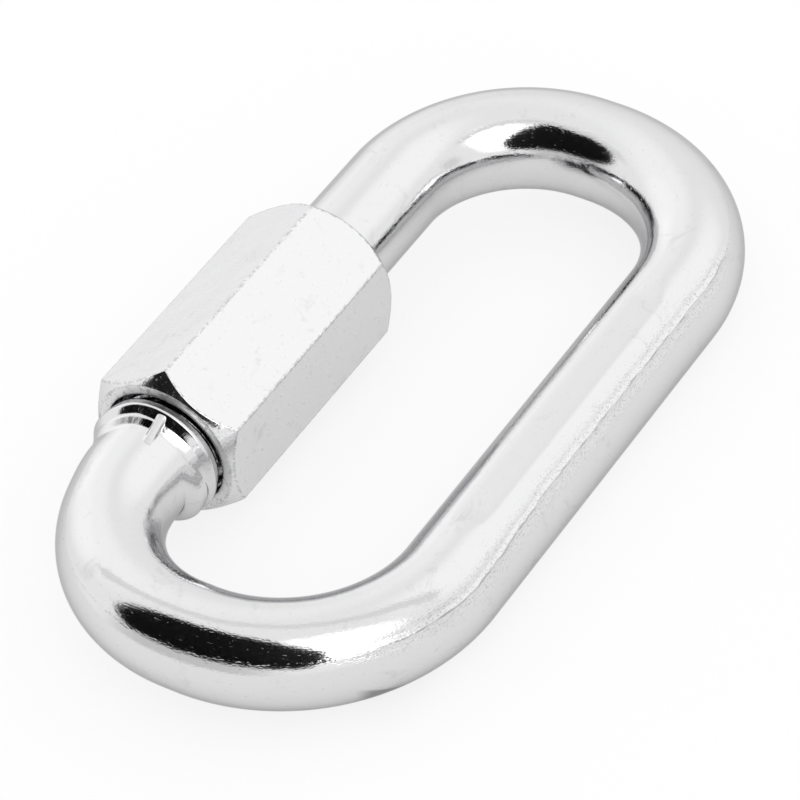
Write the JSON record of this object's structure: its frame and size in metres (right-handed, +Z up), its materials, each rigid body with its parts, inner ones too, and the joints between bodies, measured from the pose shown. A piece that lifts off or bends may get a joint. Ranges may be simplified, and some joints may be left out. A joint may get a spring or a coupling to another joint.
{
  "type": "quick link",
  "caption": "Oval steel quick link bent from round bar, with threaded ends joined by a long hexagonal sleeve nut that screws along the arm to open the gap.",
  "frame": {"origin": "centre of the bounding box, on the surface the link lies on", "axes": "+X along the link, from the end where the nut screws home (seat end) to the end the nut runs back to; +Y from the spine to the gate arm; +Z up"},
  "size_m": [0.1072, 0.057, 0.0219],
  "materials": {
    "bar": "bright zinc plated steel",
    "nut": "bright zinc plated steel, machined flats"
  },
  "bodies": {
    "link": {"link_body": "bar"},
    "nut": {"sleeve_nut": "nut"}
  },
  "joints": [
    {"name": "nut_travel", "type": "slide", "parent": "link", "child": "nut", "axis": [1, 0, 0], "range_m": [0, 0.0207]}
  ]
}
